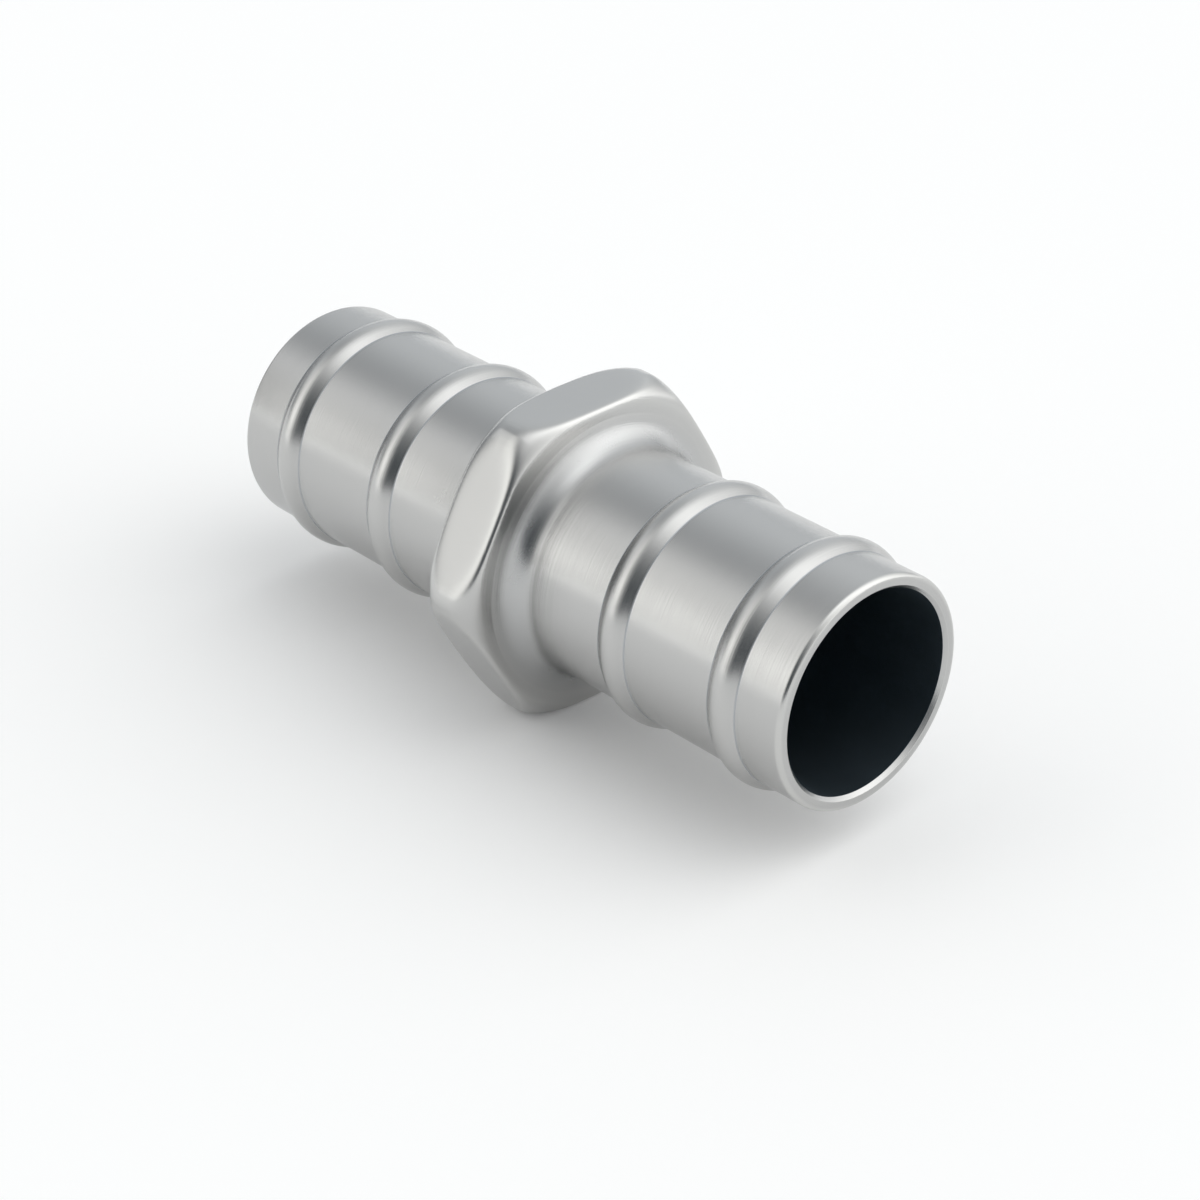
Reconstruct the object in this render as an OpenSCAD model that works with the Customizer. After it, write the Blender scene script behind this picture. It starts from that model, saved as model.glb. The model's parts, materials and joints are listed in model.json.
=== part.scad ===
// Double-ended hose coupling, turned in one piece from hexagon bar.
// Two equal hose tails stand on either side of a spanner hexagon, with one bore right through.
// The bore lies along X and the origin is on its axis, in the middle of the hexagon.
// One pair of hexagon flats is level, so the coupling lies on the lower one.

/* [Bore and tails] */
// Length from mouth to mouth
overall_length = 83.4; // [72:0.2:120]
// Diameter of a tail between its ridges
tail_d = 25.4; // [24:0.1:27.4]
// Diameter of the bore
bore_d = 22.2; // [15:0.1:22.6]
// Radius of the rounded lip on the outside of each mouth
lip_r = 0.6; // [0.2:0.1:1.3]
// Width of the small chamfer at each end of the bore
bore_chamfer = 0.4; // [0.1:0.05:0.6]

/* [Hose ridges] */
// Number of ridges on each tail
ridge_count = 2; // [1:1:2]
// Distance from a mouth to the crest of the ridge next to it
first_ridge = 7.8; // [5:0.1:10]
// Distance between the crests on one tail
ridge_pitch = 15.6; // [7:0.1:18]
// Height of a ridge above the tail
ridge_height = 0.85; // [0.65:0.05:1.2]
// Radius of the rounded crest
crest_r = 2.2; // [1:0.1:2.4]
// Slope of a ridge's flanks, in degrees
flank_deg = 36; // [25:1:40]
// Radius of the hollow at the foot of each flank
foot_r = 0.4; // [0.2:0.1:1.2]

/* [Hexagon] */
// Distance across the hexagon's flats
across_flats = 34.5; // [33:0.5:37]
// Thickness of the hexagon, along the bore
hex_width = 7.5; // [6:0.1:12]
// Radius that softens the edges between the flats and the two faces
edge_r = 0.4; // [0.2:0.05:0.8]
// Diameter that the hexagon's corners are turned down to
corner_d = 38.8; // [37.5:0.1:42]
// Radius of the curve that rounds each turned corner towards the faces
corner_curve_r = 3.6; // [3:0.1:6]
// How far that curve has dropped where it meets a face
corner_drop = 2.1; // [0.5:0.1:2.4]
// Radius of the hollow where a tail leaves the hexagon
root_r = 2.9; // [0.5:0.1:3.2]

/* [Hidden] */

$fn = 128;
// How far a cut runs past the surface that it opens
past = 1;

half_length = overall_length / 2;
half_hex = hex_width / 2;
tail_r = tail_d / 2;
bore_r = bore_d / 2;
corner_r = corner_d / 2;
wall = tail_r - bore_r;
// The lip and the hollow at the root may take no more than their wall and step leave them
lip = min(lip_r, 0.9 * (wall - bore_chamfer));
root = min(root_r, 0.9 * (across_flats / 2 - edge_r - tail_r));

// Ridge section: the crest's arc ends at crest_end and the foot's hollow begins at foot_top,
// each given as distance along the bore from the crest and height above the tail
crest_end = [crest_r * sin(flank_deg), ridge_height - crest_r * (1 - cos(flank_deg))];
foot_rise = foot_r * (1 - cos(flank_deg));
foot_top = [crest_end[0] + (crest_end[1] - foot_rise) / tan(flank_deg), foot_rise];
foot_end = foot_top[0] + foot_r * sin(flank_deg);

// How far along an arc's top tangent the arc has dropped by the given amount
function arc_reach(radius, drop) = sqrt(radius * radius - (radius - drop) * (radius - drop));

// Turned corner: the curve starts at curve_start from the middle of the hexagon
curve_start = half_hex - min(half_hex, arc_reach(corner_curve_r, corner_drop));

// Outlines below have the radius across and the place along the bore upwards

// One ridge, with its crest at the given place
module ridge_outline(place) {
    translate([tail_r, place])
        difference() {
            union() {
                polygon([
                    [-wall / 2, -foot_end],
                    [0, -foot_end],
                    [foot_top[1], -foot_top[0]],
                    [crest_end[1], -crest_end[0]],
                    [crest_end[1], crest_end[0]],
                    [foot_top[1], foot_top[0]],
                    [0, foot_end],
                    [-wall / 2, foot_end]
                ]);
                translate([ridge_height - crest_r, 0])
                    circle(r = crest_r);
            }
            for (side = [-1, 1])
                translate([foot_r, side * foot_end])
                    circle(r = foot_r);
        }
}

// The lip's arc and the tail behind it, out to the mouth
module tail_outline() {
    square([tail_r - lip, half_length]);
    square([tail_r, half_length - lip]);
    translate([tail_r - lip, half_length - lip])
        circle(r = lip);
}

// The hollow that joins a tail to the hexagon's face
module root_outline() {
    translate([tail_r, half_hex])
        difference() {
            translate([-wall / 2, -half_hex / 2])
                square([root + wall / 2, root + half_hex / 2]);
            translate([root, root])
                circle(r = root);
        }
}

// Everything on one side of the hexagon
module half_outline() {
    tail_outline();
    root_outline();
    for (i = [0 : ridge_count - 1])
        ridge_outline(half_length - first_ridge - i * ridge_pitch);
}

module turned_tails() {
    rotate([0, 90, 0])
        rotate_extrude()
            for (side = [0, 1])
                mirror([0, side])
                    half_outline();
}

// A slab between two opposite flats, with its long edges softened
module flat_pair() {
    flat_r = across_flats / 2;
    rotate([90, 0, 0])
        linear_extrude(height = 2 * across_flats, center = true)
            union() {
                square([hex_width - 2 * edge_r, across_flats], center = true);
                square([hex_width, across_flats - 2 * edge_r], center = true);
                for (x = [-1, 1], z = [-1, 1])
                    translate([x * (half_hex - edge_r), z * (flat_r - edge_r)])
                        circle(r = edge_r);
            }
}

// A turned section out to the given radius, carried past both faces of the hexagon
module turning(radius) {
    translate([0, -half_hex - past])
        square([radius, hex_width + 2 * past]);
}

// The turned shape that rounds the corners towards both faces
module corner_limit() {
    rotate([0, 90, 0])
        rotate_extrude()
            intersection() {
                turning(corner_r);
                union() {
                    turning(corner_r - corner_curve_r);
                    translate([0, -curve_start])
                        square([corner_r, 2 * curve_start]);
                    for (side = [-1, 1])
                        translate([corner_r - corner_curve_r, side * curve_start])
                            circle(r = corner_curve_r);
                }
            }
}

module hexagon() {
    intersection() {
        flat_pair();
        rotate([60, 0, 0])
            flat_pair();
        rotate([120, 0, 0])
            flat_pair();
        corner_limit();
    }
}

module bore() {
    rotate([0, 90, 0])
        cylinder(r = bore_r, h = overall_length + 2 * past, center = true);
}

// Chamfer cone at each mouth, carried past the end face
module mouth_chamfers() {
    for (side = [-1, 1])
        rotate([0, side * 90, 0])
            translate([0, 0, half_length - bore_chamfer])
                cylinder(r1 = bore_r, r2 = bore_r + bore_chamfer + past, h = bore_chamfer + past);
}

module hose_coupling() {
    color([0.72, 0.72, 0.71])
        difference() {
            union() {
                turned_tails();
                hexagon();
            }
            bore();
            mouth_chamfers();
        }
}

hose_coupling();
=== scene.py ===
# %% [markdown]
# # A double-ended hose coupling
# The coupling is one piece of stainless steel, turned from hexagon bar. Two equal hose tails stand on
# either side of a spanner hexagon, each tail has two rounded ridges that grip the hose, and one plain
# bore runs right through. It could be made as a lathe object with a six-sided cut, or with Boolean
# cutters. Here the whole skin is one closed surface worked out on a grid, because every edge then has
# its own true radius and catches the light as polished steel does.

# %% Load the frame
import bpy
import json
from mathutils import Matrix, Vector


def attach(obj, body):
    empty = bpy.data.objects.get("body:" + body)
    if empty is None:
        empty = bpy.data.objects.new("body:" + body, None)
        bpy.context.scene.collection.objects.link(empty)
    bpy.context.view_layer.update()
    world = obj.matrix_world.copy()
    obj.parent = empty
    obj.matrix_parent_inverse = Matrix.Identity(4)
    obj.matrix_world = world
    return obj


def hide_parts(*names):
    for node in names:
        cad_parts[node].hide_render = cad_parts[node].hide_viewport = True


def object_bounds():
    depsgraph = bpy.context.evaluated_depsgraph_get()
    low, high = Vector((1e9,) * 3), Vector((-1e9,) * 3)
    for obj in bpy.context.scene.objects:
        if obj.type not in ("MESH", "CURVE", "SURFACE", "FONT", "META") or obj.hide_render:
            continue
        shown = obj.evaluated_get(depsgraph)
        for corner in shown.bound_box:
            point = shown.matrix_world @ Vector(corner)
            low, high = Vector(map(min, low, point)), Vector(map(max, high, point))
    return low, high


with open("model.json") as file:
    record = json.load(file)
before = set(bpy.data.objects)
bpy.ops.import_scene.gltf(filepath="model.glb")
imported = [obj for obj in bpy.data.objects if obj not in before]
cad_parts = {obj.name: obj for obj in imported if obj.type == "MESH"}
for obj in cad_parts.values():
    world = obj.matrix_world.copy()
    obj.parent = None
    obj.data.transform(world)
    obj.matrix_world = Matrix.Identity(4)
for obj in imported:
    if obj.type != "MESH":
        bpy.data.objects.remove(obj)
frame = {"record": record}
cad_low, cad_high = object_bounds()
print("box of the solid, in metres:", tuple(cad_low), tuple(cad_high))

# %% Helpers used throughout
import json
import math

import bpy
import numpy as np
from mathutils import Matrix, Vector

MM = 0.001
scene = bpy.context.scene

# %% [markdown]
# # The camera
# The outline in the photograph fixes the camera: a long lens, a third of a metre away, looking along the
# coupling from its right-hand end and about 31 degrees down. Giving it as two angles, a distance and the
# point that it looks at keeps it easy to read, and a small roll takes up the tilt of the picture.

# %% Camera at the photograph's angle
# Angles in degrees, distances in metres, lens and sensor in millimetres
CAMERA_AZIMUTH = 47.54
CAMERA_ELEVATION = 30.836
CAMERA_ROLL = -0.723
CAMERA_DISTANCE = 0.32497
CAMERA_AIM = Vector((0.01027, -0.00672, 0.0))
LENS = 94.93
SENSOR = 36.0
NEAREST_SEEN = 0.01


def add_camera(azimuth, elevation, roll, distance, aim):
    """Stands back from the aim by the distance, along the direction that the two angles give.

    An azimuth of 0 looks along +Y, and a larger one steps round towards +X. The camera's right side is
    level before the roll, which turns it about its line of sight."""
    a, e, r = map(math.radians, (azimuth, elevation, roll))
    back = Vector((math.sin(a) * math.cos(e), -math.cos(a) * math.cos(e), math.sin(e)))
    level = Vector((math.cos(a), math.sin(a), 0.0))
    upright = back.cross(level)
    right = level * math.cos(r) + upright * math.sin(r)
    up = back.cross(right)
    lens = bpy.data.cameras.new("camera")
    lens.lens = LENS
    lens.sensor_width = SENSOR
    lens.clip_start = NEAREST_SEEN
    camera = bpy.data.objects.new("camera", lens)
    scene.collection.objects.link(camera)
    turn = Matrix((right, up, back)).transposed().to_4x4()
    camera.matrix_world = Matrix.Translation(aim + back * distance) @ turn
    return camera


scene.camera = add_camera(CAMERA_AZIMUTH, CAMERA_ELEVATION, CAMERA_ROLL, CAMERA_DISTANCE, CAMERA_AIM)
print("camera at", tuple(round(v, 4) for v in scene.camera.matrix_world.translation))

# %% [markdown]
# # The sizes
# The lengths that other things fit are read from the frame's own record: the mouths, the bore, the
# tails and the hexagon's flats. The turned corners' radius is the reach of the solid's box. All of them
# could be typed in, but a size that is read can't drift away from the solid. The ridges, the hexagon's
# width and the small radii aren't in the record, so they repeat the solid's own named sizes. Only the
# fine break of the bore's two sharp edges is added here, because light catches it.

# %% Sizes of the coupling, with lengths in millimetres
mounts = {mount["name"]: mount for mount in frame["record"]["mounts"]}
HALF_LENGTH = mounts["hose_tail_a"]["pos_m"][0] / MM
TAIL_R = mounts["hose_tail_a"]["dims"]["r_mm"]
BORE_R = mounts["waterway"]["dims"]["r_mm"]
BORE_CHAMFER = HALF_LENGTH - mounts["waterway"]["dims"]["length_mm"] / 2
FLAT_R = mounts["spanner_flats"]["pos_m"][2] / MM
CORNER_R = cad_high.y / MM
FLATS = 6
LIP_R = 0.6
EDGE_BREAK = 0.08

RIDGES = 2
FIRST_RIDGE = 7.8
RIDGE_PITCH = 15.6
RIDGE_HEIGHT = 0.85
CREST_R = 2.2
FLANK = math.radians(36)
FOOT_R = 0.4

HALF_HEX = 3.75
CORNER_CURVE_R = 3.6
CORNER_DROP = 2.1
ROOT_R = 2.9
print("tail", 2 * TAIL_R, "bore", 2 * BORE_R, "length", 2 * HALF_LENGTH, "across flats", 2 * FLAT_R)

# %% [markdown]
# # The turned outline
# On the lathe, a tail is a straight bar with a lip, two ridges and a hollow where it leaves the
# hexagon. It could be drawn as a curve with handles, but a turner thinks in corners and radii: straight
# lines meet at corners, and each corner is rounded by a tool of known radius. So the outline is a short
# list of corners, each with its radius, and one formula replaces every corner by its arc.

# %% Rounding the corners of an outline
ARC_STEPS = 9


def rounded_outline(corners, radii):
    """Walks from corner to corner in straight lines and rounds every inner corner with an arc.

    An arc of radius r touches both lines at r * tan(half the turn) from the corner. From its first
    touching point it goes r * sin(angle) forwards and r * (1 - cos(angle)) towards the inside of the
    turn. Returns the points, and for each one the bend there: +1 or -1 over the turn's own radius."""
    before = corners[1:-1] - corners[:-2]
    after = corners[2:] - corners[1:-1]
    before = before / np.linalg.norm(before, axis=1, keepdims=True)
    after = after / np.linalg.norm(after, axis=1, keepdims=True)
    turn = np.arctan2(before[:, 0] * after[:, 1] - before[:, 1] * after[:, 0], (before * after).sum(1))
    inside = np.stack([-before[:, 1], before[:, 0]], 1) * np.sign(turn)[:, None]
    touch = corners[1:-1] - before * (radii * np.tan(np.abs(turn) / 2))[:, None]
    share = np.linspace(0, 1, ARC_STEPS)
    angle = (np.abs(turn)[:, None] * share)[..., None]
    arcs = touch[:, None] + radii[:, None, None] * (
        np.sin(angle) * before[:, None] + (1 - np.cos(angle)) * inside[:, None])
    bend = (np.sign(turn) / radii)[:, None] * np.sin(np.pi * share)
    points = np.vstack([corners[:1], arcs.reshape(-1, 2)])
    return points, np.concatenate([[0.0], bend.ravel()])


# %% One half of the outline, from the middle of the bore to the hexagon's face
def ridge_corners(crest_place):
    """Foot, crest and foot of one ridge. The crest's corner stands above its arc by
    crest radius * (1 / cos(flank) - 1), and the feet lie where the flanks reach the tail."""
    apex = RIDGE_HEIGHT + CREST_R * (1 / math.cos(FLANK) - 1)
    reach = apex / math.tan(FLANK)
    return [(crest_place + reach, TAIL_R), (crest_place, TAIL_R + apex), (crest_place - reach, TAIL_R)]


def turned_half():
    """Corners and radii in (place along the bore, radius), walked from the bore out to the mouth and
    back along the tail."""
    crests = [HALF_LENGTH - FIRST_RIDGE - k * RIDGE_PITCH for k in range(RIDGES)]
    ridges = [corner for crest in crests for corner in ridge_corners(crest)]
    corners = [(0.0, BORE_R), (HALF_LENGTH - BORE_CHAMFER, BORE_R), (HALF_LENGTH, BORE_R + BORE_CHAMFER),
               (HALF_LENGTH, TAIL_R), *ridges, (HALF_HEX, TAIL_R), (HALF_HEX, TAIL_R + ROOT_R)]
    radii = [EDGE_BREAK, EDGE_BREAK, LIP_R, *[FOOT_R, CREST_R, FOOT_R] * RIDGES, ROOT_R]
    return rounded_outline(np.array(corners), np.array(radii))


turned, turned_bend = turned_half()
print("outline of one half:", len(turned), "points, highest radius", round(turned[:, 1].max(), 3), "mm")

# %% [markdown]
# # The hexagon
# The hexagon is what is left of the bar: six flats, two faces, and corners that are turned down in a
# soft curve so that they don't cut the hand. Bevels on a six-sided prism would need care where three
# edges meet. Here each limit is written as a distance from a core circle, and a smooth least of the
# three gives flats, faces and rounded corners at once, with no seams between them.

# %% The hexagon's section, at any angle round the bore
CORE_R = 13.0
HALF_SIDE = math.pi / FLATS
HEX_LINES = 36
EDGE_SHARPNESS = 18
SMALLEST_DIVISOR = 1e-6


def hexagon_section(around, lean):
    """Skin of the hexagon for an angle round the bore and a lean in the section.

    A ray leaves the core circle at the lean and stops at the least of three distances: to the flat,
    which lies at flat radius / cos(angle from the flat's middle); to the face; and to the turned corner,
    an arc that meets a short land. The three a, b and c are blended as
    (a^-p + b^-p + c^-p)^(-1/p), which rounds the edge where two of them are equal. Returns place,
    radius and how near each point is to such an edge, from 0 to 1."""
    from_flat = np.mod(around + HALF_SIDE, 2 * HALF_SIDE) - HALF_SIDE
    along, across = np.cos(lean), np.sin(lean)
    flat = (FLAT_R / np.cos(from_flat) - CORE_R) / across
    face = HALF_HEX / np.maximum(along, SMALLEST_DIVISOR)
    curve_reach = math.sqrt(CORNER_CURVE_R ** 2 - (CORNER_CURVE_R - CORNER_DROP) ** 2)
    land_end = HALF_HEX - min(HALF_HEX, curve_reach)
    centre_r = CORNER_R - CORNER_CURVE_R - CORE_R
    towards = along * land_end + across * centre_r
    inside = land_end ** 2 + centre_r ** 2 - CORNER_CURVE_R ** 2
    curve = towards + np.sqrt(np.maximum(towards ** 2 - inside, 0))
    land = (CORNER_R - CORE_R) / across
    corner = np.where(along * np.minimum(curve, land) < land_end, land, curve)
    limits = np.stack([flat, face, corner])
    reach = (limits ** -EDGE_SHARPNESS).sum(0) ** (-1 / EDGE_SHARPNESS)
    nearness = (1 - reach / limits.min(0)) / (1 - 2 ** (-1 / EDGE_SHARPNESS))
    return along * reach, CORE_R + across * reach, np.clip(nearness, 0, 1)


_, outer_radius, _ = hexagon_section(np.array([0.0, HALF_SIDE]), np.full(2, np.pi / 2))
print("radius at a flat's middle and at a corner:", outer_radius.round(3), "mm")

# %% [markdown]
# # The whole skin
# The outline runs from the middle of the bore, round the mouth, over the ridges and across the hexagon,
# and its mirror image leads back. Carried round the bore it closes in both directions, so there is no
# seam and no open end. The lines round the bore crowd together near the hexagon's six corners, where
# the surface bends most.

# %% Points of the skin on a grid
LINES_ROUND = 360
CROWDING = 0.45
HOLLOW_BEND = 1.2


def skin_grid():
    """Points [along the outline, round the bore] and an edge value for each.

    The angle round the bore is t + crowding * sin(6 t) / 6, which packs lines at the corners. A point
    at place x and radius r stands at (x, -r * sin(angle), r * cos(angle)). The edge value is up to 1 on
    a convex edge, 0 on a plain surface and down to -1 in a hollow."""
    t = np.linspace(0, 2 * np.pi, LINES_ROUND, endpoint=False)
    around = t + CROWDING * np.sin(FLATS * t) / FLATS
    lean_start = math.atan2(TAIL_R + ROOT_R - CORE_R, HALF_HEX)
    lean = np.linspace(lean_start, np.pi / 2, HEX_LINES + 1)[1:]
    lean_grid, around_grid = np.meshgrid(lean, around, indexing="ij")
    hex_x, hex_r, hex_edge = hexagon_section(around_grid, lean_grid)
    ones = np.ones(LINES_ROUND)
    x = np.vstack([turned[:, :1] * ones, hex_x])
    r = np.vstack([turned[:, 1:] * ones, hex_r])
    edge = np.vstack([np.clip(turned_bend / HOLLOW_BEND, -1, 1)[:, None] * ones, hex_edge])
    x = np.vstack([x, -x[-2:0:-1]])
    r = np.vstack([r, r[-2:0:-1]])
    edge = np.vstack([edge, edge[-2:0:-1]])
    return np.stack([x, -r * np.sin(around), r * np.cos(around)], -1) * MM, edge


points, edge_value = skin_grid()
print("grid of the skin:", points.shape)


# %% Helpers that turn a grid into a mesh
def closed_grid_faces(rows, columns):
    """Four-sided faces of a grid that closes both ways: each point joins the next one along the
    outline and the next one round the bore, in the order that turns the face outwards."""
    index = np.arange(rows * columns).reshape(rows, columns)
    along = np.roll(index, -1, 0)
    faces = np.stack([along, np.roll(along, -1, 1), np.roll(index, -1, 1), index], -1)
    return faces.reshape(-1, 4)


def mesh_from_grid(name, points, faces):
    """Puts whole arrays of points and four-sided faces into a smooth-shaded mesh."""
    mesh = bpy.data.meshes.new(name)
    mesh.from_pydata(points.reshape(-1, 3).tolist(), [], faces.tolist())
    mesh.shade_smooth()
    mesh.update()
    return mesh


def enclosed_volume(points, faces):
    """Sums the pyramids from the origin to each half of each face, a . (b x c) / 6 for corners a, b and
    c. The sum is above 0 if the faces point outwards."""
    a, b, c, d = (points.reshape(-1, 3)[faces[:, k]] for k in range(4))
    halves = np.einsum("ij,ij->i", a, np.cross(b, c)) + np.einsum("ij,ij->i", a, np.cross(c, d))
    return halves.sum() / 6


# %% The coupling's skin as one mesh
skin_faces = closed_grid_faces(*points.shape[:2])
skin_mesh = mesh_from_grid("coupling_skin", points, skin_faces)
coupling = bpy.data.objects.new("coupling_skin", skin_mesh)
scene.collection.objects.link(coupling)
edge_layer = skin_mesh.attributes.new("edge", "FLOAT", "POINT")
edge_layer.data.foreach_set("value", edge_value.ravel().astype(np.float32))
print("steel enclosed:", round(enclosed_volume(points, skin_faces) / MM ** 3 / 1000, 3), "cm3")

# %% The skin stands for the solid
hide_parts("hose_coupling")
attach(coupling, "root")
print("skin of", len(skin_faces), "faces stands for the solid")

# %% [markdown]
# # Marks of turning and polishing
# A lathe leaves fine rings round the tails and circles on the faces, and bar stock has fine lines along
# its flats. Polishing nearly removes them. A picture of scratches could be wrapped round the part, but
# then it would stretch. Two small node groups read only where a point lies, so the marks have the same
# true width everywhere and serve the outside and the bore alike.


# %% Helpers for node trees
def feed(tree, socket, value):
    """Links the socket if the value comes out of a node, and otherwise sets the socket to it."""
    if isinstance(value, bpy.types.NodeSocket):
        tree.links.new(value, socket)
    else:
        socket.default_value = value


def place_node(tree, kind, group=None, **inputs):
    """Adds one node, with the group that it holds if it is a group node, and feeds its named inputs.
    Spaces in their names are written as underscores."""
    node = tree.nodes.new(kind)
    if group:
        node.node_tree = group
    for name, value in inputs.items():
        feed(tree, node.inputs[name.replace("_", " ")], value)
    return node


def maths(tree, operation, *values, kind="ShaderNodeMath"):
    """Adds one maths node for the operation and returns its result."""
    node = tree.nodes.new(kind)
    node.operation = operation
    for socket, value in zip(node.inputs, values):
        feed(tree, socket, value)
    return next(socket for socket in node.outputs if socket.enabled)


def scaled(tree, vector, factor):
    """Multiplies every part of a vector or a colour by the factor."""
    result = maths(tree, "SCALE", vector, kind="ShaderNodeVectorMath")
    feed(tree, result.node.inputs["Scale"], factor)
    return result


def new_group(name, inputs, outputs):
    """Makes an empty shader node group with named inputs and outputs, and returns it with its two ends."""
    group = bpy.data.node_groups.new(name, "ShaderNodeTree")
    for title, socket_type in inputs:
        group.interface.new_socket(title, in_out="INPUT", socket_type=socket_type)
    for title, socket_type in outputs:
        group.interface.new_socket(title, in_out="OUTPUT", socket_type=socket_type)
    return group, group.nodes.new("NodeGroupInput").outputs, group.nodes.new("NodeGroupOutput").inputs


VALUE, VECTOR = "NodeSocketFloat", "NodeSocketVector"
NOISE_MIDDLE = 0.5


def blended_noise(tree, first, second, share):
    """Share * first + (1 - share) * second, less the middle of a noise, so that it swings about 0."""
    both = maths(tree, "MULTIPLY_ADD", first, share, maths(tree, "MULTIPLY", second, 1 - share))
    return maths(tree, "SUBTRACT", both, NOISE_MIDDLE)


# %% Fine marks left by the lathe
COARSE_PER_FINE_MARK = 0.22
COARSE_SHARE = 0.6


def one_way_noise(tree, place):
    """Noise that changes along one line only."""
    noise = tree.nodes.new("ShaderNodeTexNoise")
    noise.noise_dimensions = "1D"
    feed(tree, noise.inputs["W"], place)
    return noise.outputs["Fac"]


def turning_marks_group():
    """Rings of uneven height. Their coordinate is the distance along the bore from the middle, but at
    least half the hexagon's width, less the height above the ridges. On the tails it runs along the
    bore. On the hexagon it runs outwards, and draws circles on a face and lines on a flat. Two layers
    of one-way noise, one coarse and one fine, are blended."""
    group, given, result = new_group(
        "turning_marks", [("Position", VECTOR), ("Marks per mm", VALUE)], [("Height", VALUE)])
    place = place_node(group, "ShaderNodeSeparateXYZ", Vector=given["Position"]).outputs
    axis_distance = maths(group, "SQRT", maths(group, "ADD", maths(group, "POWER", place["Y"], 2.0),
                                               maths(group, "POWER", place["Z"], 2.0)))
    along = maths(group, "MAXIMUM", maths(group, "ABSOLUTE", place["X"]), HALF_HEX * MM)
    outwards = maths(group, "SUBTRACT", axis_distance, (TAIL_R + RIDGE_HEIGHT) * MM)
    ring = maths(group, "SUBTRACT", along, maths(group, "MAXIMUM", outwards, 0.0))
    in_marks = maths(group, "MULTIPLY", maths(group, "DIVIDE", ring, MM), given["Marks per mm"])
    coarse = one_way_noise(group, maths(group, "MULTIPLY", in_marks, COARSE_PER_FINE_MARK))
    fine = one_way_noise(group, in_marks)
    feed(group, result["Height"], blended_noise(group, coarse, fine, COARSE_SHARE))
    return group


turning_marks = turning_marks_group()
print("node group", turning_marks.name, "of", len(turning_marks.nodes), "nodes")


# %% Cloudy unevenness left by the polishing wheel
PATCH_DETAIL = 2.0
SPECKS_PER_PATCH = 9.0
SPECK_DETAIL = 3.0
PATCH_SHARE = 0.75


def polishing_haze_group():
    """Three-way noise in two layers: a slow one for soft patches and a quick one for specks. The blend
    stays within -0.5 and 0.5."""
    group, given, result = new_group(
        "polishing_haze", [("Position", VECTOR), ("Patch size mm", VALUE)], [("Haze", VALUE)])
    in_patches = maths(group, "DIVIDE", maths(group, "DIVIDE", 1.0, MM), given["Patch size mm"])
    spot = scaled(group, given["Position"], in_patches)
    slow = place_node(group, "ShaderNodeTexNoise", Vector=spot, Scale=1.0, Detail=PATCH_DETAIL)
    quick = place_node(group, "ShaderNodeTexNoise", Vector=spot, Scale=SPECKS_PER_PATCH,
                       Detail=SPECK_DETAIL)
    haze = blended_noise(group, slow.outputs["Fac"], quick.outputs["Fac"], PATCH_SHARE)
    feed(group, result["Haze"], haze)
    return group


polishing_haze = polishing_haze_group()
print("node group", polishing_haze.name, "of", len(polishing_haze.nodes), "nodes")

# %% [markdown]
# # Two finishes of one steel
# Outside, the steel has a satin polish: the wheel rides on edges and crests, which come out smoother,
# and it can't reach into the hollows, which stay duller. A painted highlight makes edges and crests
# lighter, and painted shade makes the hollows darker and bluer. Inside, the drilled bore is left rough,
# and its dark colour is painted shade. Both finishes share the two groups above, each with its own values.

# %% A steel with marks and haze
def steel_material(name, roughness, roughness_spread, marks_per_mm, mark_height, patch_size):
    """A metal whose roughness follows the polishing haze and whose surface carries turning marks. The
    marks' height and the haze's patch size are in millimetres. Returns the material, its shader and its
    roughness, for a finish to build on."""
    material = bpy.data.materials.new(name)
    material.use_nodes = True
    tree = material.node_tree
    shader = tree.nodes["Principled BSDF"]
    shader.inputs["Metallic"].default_value = 1.0
    position = tree.nodes.new("ShaderNodeTexCoord").outputs["Object"]
    marks = place_node(tree, "ShaderNodeGroup", turning_marks, Position=position,
                       Marks_per_mm=marks_per_mm)
    haze = place_node(tree, "ShaderNodeGroup", polishing_haze, Position=position,
                      Patch_size_mm=patch_size)
    rough = maths(tree, "MULTIPLY_ADD", haze.outputs["Haze"], roughness_spread, roughness)
    feed(tree, shader.inputs["Roughness"], rough)
    bump = place_node(tree, "ShaderNodeBump", Height=marks.outputs["Height"], Distance=mark_height * MM)
    feed(tree, shader.inputs["Normal"], bump.outputs["Normal"])
    return material, shader, rough


# %% The satin outside
STEEL_COLOUR = (0.50, 0.50, 0.495, 1.0)
# The hollow colour is painted shade, darker and bluer than the steel, and the edge colour is a painted
# highlight.
PAINTED_HOLLOW_SHADE = (0.40, 0.415, 0.43, 1.0)
PAINTED_EDGE_HIGHLIGHT = (0.56, 0.56, 0.55, 1.0)
DULLER_IN_HOLLOW = 0.06
SMOOTHER_ON_EDGE = 0.04
# Places of the colour sockets on a Mix node
MIX_FIRST, MIX_SECOND, MIX_RESULT = 6, 7, 2


def mix_colour(tree, share, first, second):
    """Goes from the first colour to the second as the share goes from 0 to 1."""
    node = tree.nodes.new("ShaderNodeMix")
    node.data_type = "RGBA"
    feed(tree, node.inputs["Factor"], share)
    feed(tree, node.inputs[MIX_FIRST], first)
    feed(tree, node.inputs[MIX_SECOND], second)
    return node.outputs[MIX_RESULT]


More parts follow.
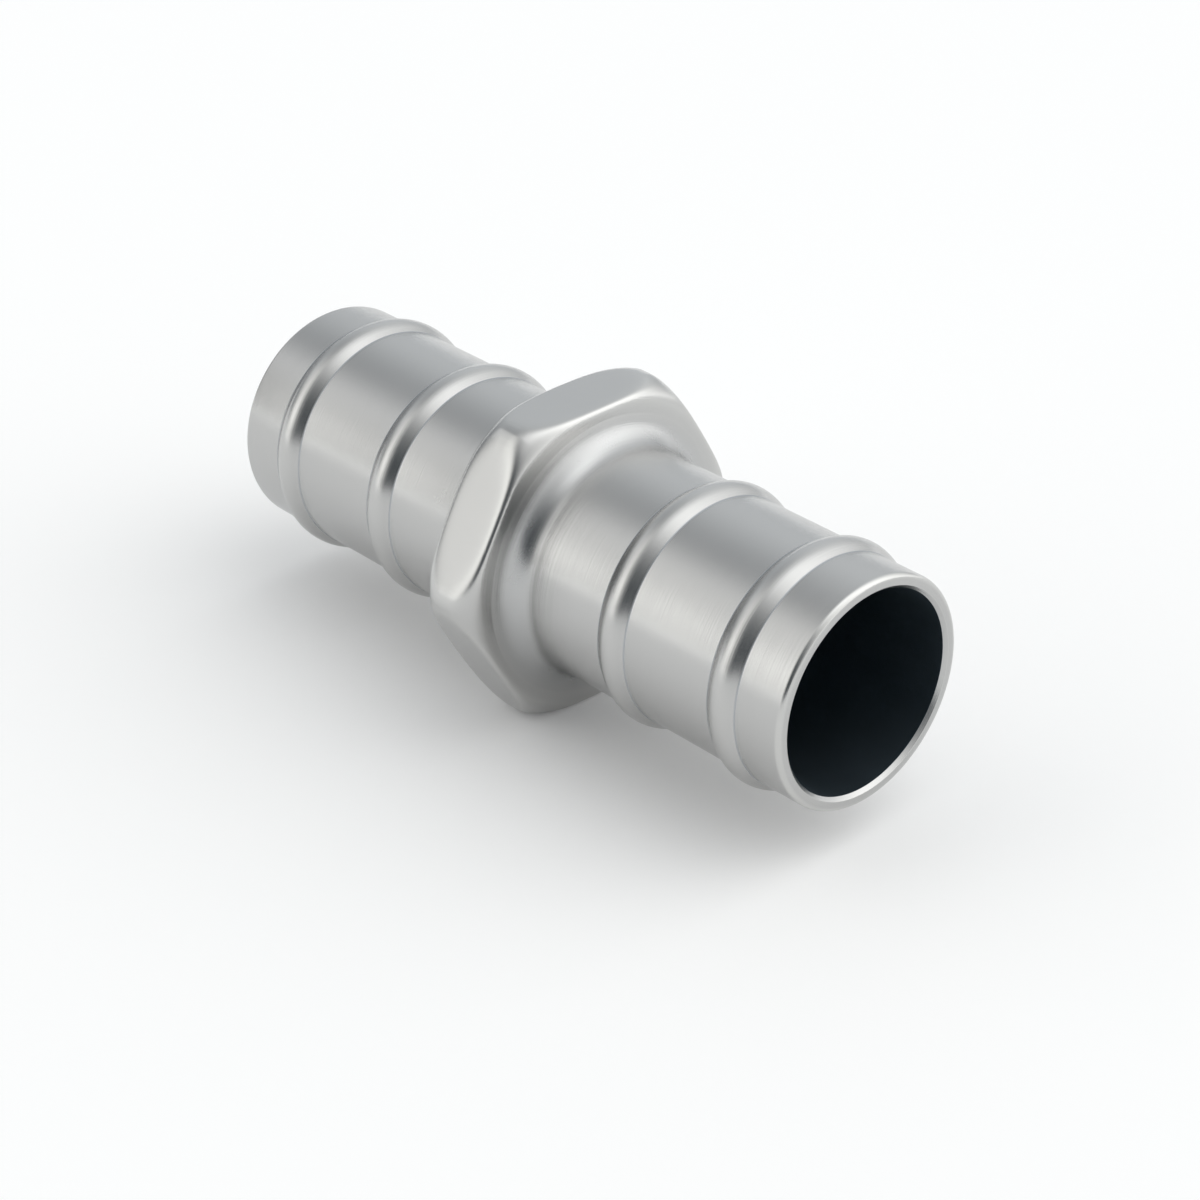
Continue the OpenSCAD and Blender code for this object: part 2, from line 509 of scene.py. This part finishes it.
def satin_steel():
    """The edge value smooths convex edges and lightens them with a painted highlight, and dulls the
    hollows and darkens them with painted shade.
    """
    material, shader, rough = steel_material(
        "satin_stainless", roughness=0.25, roughness_spread=0.12, marks_per_mm=5.0, mark_height=0.013,
        patch_size=7.0)
    tree = material.node_tree
    edge = place_node(tree, "ShaderNodeAttribute")
    edge.attribute_name = "edge"
    on_edge = maths(tree, "MAXIMUM", edge.outputs["Fac"], 0.0)
    in_hollow = maths(tree, "MAXIMUM", maths(tree, "MULTIPLY", edge.outputs["Fac"], -1.0), 0.0)
    # Painted highlight on convex edges, then painted shade in the hollows.
    colour = mix_colour(tree, on_edge, STEEL_COLOUR, PAINTED_EDGE_HIGHLIGHT)
    colour = mix_colour(tree, in_hollow, colour, PAINTED_HOLLOW_SHADE)
    feed(tree, shader.inputs["Base Color"], colour)
    rough = maths(tree, "MULTIPLY_ADD", in_hollow, DULLER_IN_HOLLOW, rough)
    rough = maths(tree, "MULTIPLY_ADD", on_edge, -SMOOTHER_ON_EDGE, rough)
    feed(tree, shader.inputs["Roughness"], rough)
    return material


# %% The bore's painted shade, and which faces have which finish
# The bore's colour is painted shade, near black and bluish.
PAINTED_BORE_SHADE = (0.105, 0.138, 0.165, 1.0)
BORE_MARGIN = 0.02


def dark_bore():
    """The bore's wall: rough as the drill left it, and dark with painted shade."""
    material, shader, _ = steel_material(
        "dark_bore", roughness=0.5, roughness_spread=0.15, marks_per_mm=3.0, mark_height=0.01,
        patch_size=4.0)
    # Painted shade as the colour of the bore's wall.
    shader.inputs["Base Color"].default_value = PAINTED_BORE_SHADE
    return material


for finish in (satin_steel(), dark_bore()):
    skin_mesh.materials.append(finish)
face_radius = np.hypot(points[..., 1], points[..., 2]).ravel()[skin_faces].max(1)
in_bore = face_radius < (BORE_R + BORE_MARGIN) * MM
skin_mesh.polygons.foreach_set("material_index", in_bore.astype(np.int32))
print("faces in the bore:", int(in_bore.sum()), "of", len(skin_faces))

# %% [markdown]
# # The studio
# The coupling lies on a white table. A soft box hangs above it, a wide screen glows to the right and a
# tall window to the left, and the wall behind it is dimly lit. The side of the room where the camera
# stands stays dark, which draws the grey bands on the polished tails. Area lamps could do this too, but
# satin steel shows the shape of every lamp. Here each light is a soft patch in the surroundings that
# fades into the next one. The room is pale all along its horizon, so that the table has no hard far
# edge in a low view.

# %% The white table
# Half of its width, in metres
TABLE_HALF = 6.0
TABLE_COLOUR = 0.95
TABLE_GLOW = 0.05


def add_table():
    """A level square under the coupling. It glows a little to the camera and in reflections, so that it
    reads white there, and the rest of its brightness is light that it scatters, which keeps the shadow."""
    height = cad_low.z
    corners = [(x * TABLE_HALF, y * TABLE_HALF, height) for x, y in ((-1, -1), (1, -1), (1, 1), (-1, 1))]
    mesh = bpy.data.meshes.new("table")
    mesh.from_pydata(corners, [], [(0, 1, 2, 3)])
    table = bpy.data.objects.new("table", mesh)
    scene.collection.objects.link(table)
    material = bpy.data.materials.new("white_table")
    material.use_nodes = True
    tree = material.node_tree
    shader = tree.nodes["Principled BSDF"]
    shader.inputs["Base Color"].default_value = (TABLE_COLOUR,) * 3 + (1.0,)
    shader.inputs["Roughness"].default_value = 1.0
    shader.inputs["Specular IOR Level"].default_value = 0.0
    shader.inputs["Emission Color"].default_value = (1.0, 1.0, 1.0, 1.0)
    path = tree.nodes.new("ShaderNodeLightPath").outputs
    seen = maths(tree, "MAXIMUM", maths(tree, "MAXIMUM", path["Is Camera Ray"], path["Is Glossy Ray"]),
                 path["Is Transmission Ray"])
    feed(tree, shader.inputs["Emission Strength"], maths(tree, "MULTIPLY", seen, TABLE_GLOW))
    mesh.materials.append(material)
    print("table", 2 * TABLE_HALF, "m wide, its top at", round(height, 5), "m")


add_table()

# %% Soft patches of light all round
ROOM_LIGHT = (0.012, 0.023, 0.034)
HORIZON_GLOW = 0.95
HORIZON_SPREAD = 0.05
# Each patch: azimuth from +X, elevation, tightness, strength, colour
SOFT_PATCHES = {
    "soft box overhead": (10, 76, 7.6, 1.20, (1.0, 1.0, 0.99)),
    "wide screen right": (44, 24, 3.5, 1.86, (1.0, 0.995, 0.98)),
    "window left, upper part": (-129, 50, 19.5, 0.86, (1.0, 0.99, 0.96)),
    "window left, lower part": (-121, 17, 12.7, 1.74, (1.0, 0.99, 0.96)),
    "lamp far left": (-164, 32, 30.0, 0.68, (1.0, 1.0, 1.0)),
    "wall behind": (137, 25, 3.8, 0.75, (0.97, 1.0, 1.02)),
}


def light_the_room():
    """Adds the patches up. A patch's brightness is strength * exp(tightness * (cosine - 1)), where the
    cosine is that of the angle between the direction looked in and the middle of the patch. The glow
    along the horizon is exp(-(height / spread)^2) of its strength, with the sine of the elevation as
    height."""
    world = bpy.data.worlds.new("studio")
    scene.world = world
    world.use_nodes = True
    tree = world.node_tree
    direction = tree.nodes.new("ShaderNodeTexCoord").outputs["Generated"]
    total = ROOM_LIGHT
    for azimuth, elevation, tightness, strength, colour in SOFT_PATCHES.values():
        a, e = math.radians(azimuth), math.radians(elevation)
        middle = (math.cos(a) * math.cos(e), math.sin(a) * math.cos(e), math.sin(e))
        cosine = maths(tree, "DOT_PRODUCT", direction, middle, kind="ShaderNodeVectorMath")
        fall = maths(tree, "EXPONENT", maths(tree, "MULTIPLY", maths(tree, "SUBTRACT", cosine, 1.0),
                                             tightness))
        patch = scaled(tree, tuple(strength * c for c in colour), fall)
        total = maths(tree, "ADD", patch, total, kind="ShaderNodeVectorMath")
    height = place_node(tree, "ShaderNodeSeparateXYZ", Vector=direction).outputs["Z"]
    fade = maths(tree, "EXPONENT", maths(tree, "MULTIPLY", maths(tree, "MULTIPLY", height, height),
                                         -1 / HORIZON_SPREAD ** 2))
    horizon = scaled(tree, (HORIZON_GLOW,) * 3, fade)
    total = maths(tree, "ADD", total, horizon, kind="ShaderNodeVectorMath")
    feed(tree, tree.nodes["Background"].inputs["Color"], total)


light_the_room()
scene.view_settings.view_transform = "Standard"
print("soft patches of light:", ", ".join(SOFT_PATCHES))
